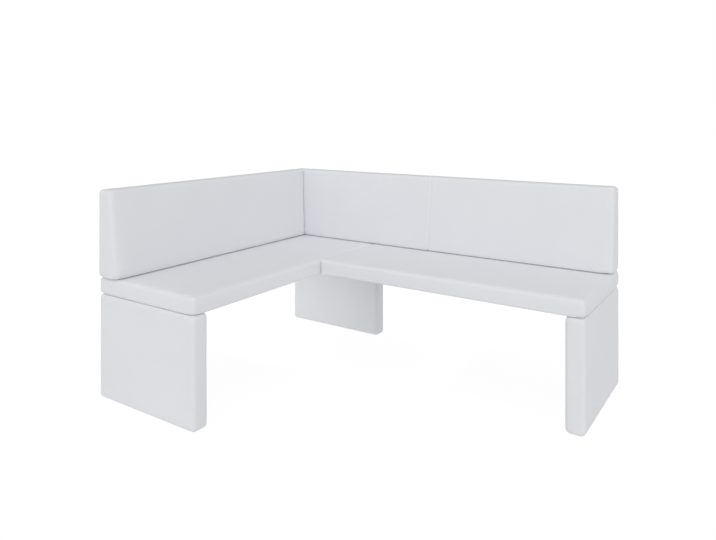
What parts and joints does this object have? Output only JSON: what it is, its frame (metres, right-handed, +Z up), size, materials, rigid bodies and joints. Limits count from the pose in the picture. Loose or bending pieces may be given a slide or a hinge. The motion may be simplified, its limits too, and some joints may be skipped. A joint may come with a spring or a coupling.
{
  "type": "corner bench",
  "caption": "L-shaped upholstered corner bench: padded seats on padded panel legs, with low wedge backrests that meet in the corner, for sitting at a dining table.",
  "frame": {"origin": "on the floor, under the middle of the bench's bounding box", "axes": "+Z up, +X along the long side from the outer corner to its free end, +Y towards the long side's back"},
  "size_m": [1.7, 1.291, 0.833],
  "materials": {
    "white_faux_leather": "cool white coated cover, fine grain, soft satin sheen",
    "dust_cloth": "black spun-bonded cloth with an embossed dot grid",
    "foam": "open-cell upholstery foam, pale cream",
    "plywood": "raw birch plywood",
    "hardboard": "raw brown hardboard",
    "chipboard": "raw pressed chipboard",
    "spruce": "planed raw spruce",
    "coated_steel": "black powder coat, fine texture",
    "zinc_fasteners": "bright zinc plate",
    "glide_plastic": "hard dark plastic"
  },
  "bodies": {
    "root": {"back_bolts": "zinc_fasteners", "back_inserts": "zinc_fasteners", "back_washers": "zinc_fasteners", "corner_leg_cover": "white_faux_leather", "corner_leg_foam": "foam", "corner_leg_front_bracket": "coated_steel", "corner_leg_glides": "glide_plastic", "corner_leg_panel": "chipboard", "corner_leg_rear_bracket": "coated_steel", "front_joining_plate": "coated_steel", "left_leg_cover": "white_faux_leather", "left_leg_foam": "foam", "left_leg_front_bracket": "coated_steel", "left_leg_glides": "glide_plastic", "left_leg_panel": "chipboard", "left_leg_rear_bracket": "coated_steel", "leg_screws": "zinc_fasteners", "long_back_bottom_rail": "spruce", "long_back_cover": "white_faux_leather", "long_back_foam": "foam", "long_back_front_board": "hardboard", "long_back_top_rail": "spruce", "long_back_uprights": "spruce", "long_seat_cover": "white_faux_leather", "long_seat_cross_rails": "spruce", "long_seat_deck": "plywood", "long_seat_dust_cloth": "dust_cloth", "long_seat_foam": "foam", "long_seat_front_rail": "spruce", "long_seat_rear_rail": "spruce", "rear_joining_plate": "coated_steel", "right_leg_cover": "white_faux_leather", "right_leg_foam": "foam", "right_leg_front_bracket": "coated_steel", "right_leg_glides": "glide_plastic", "right_leg_panel": "chipboard", "right_leg_rear_bracket": "coated_steel", "seat_screws": "zinc_fasteners", "short_back_bottom_rail": "spruce", "short_back_cover": "white_faux_leather", "short_back_foam": "foam", "short_back_front_board": "hardboard", "short_back_top_rail": "spruce", "short_back_uprights": "spruce", "short_seat_cover": "white_faux_leather", "short_seat_cross_rails": "spruce", "short_seat_deck": "plywood", "short_seat_dust_cloth": "dust_cloth", "short_seat_foam": "foam", "short_seat_front_rail": "spruce", "short_seat_rear_rail": "spruce"}
  },
  "joints": []
}
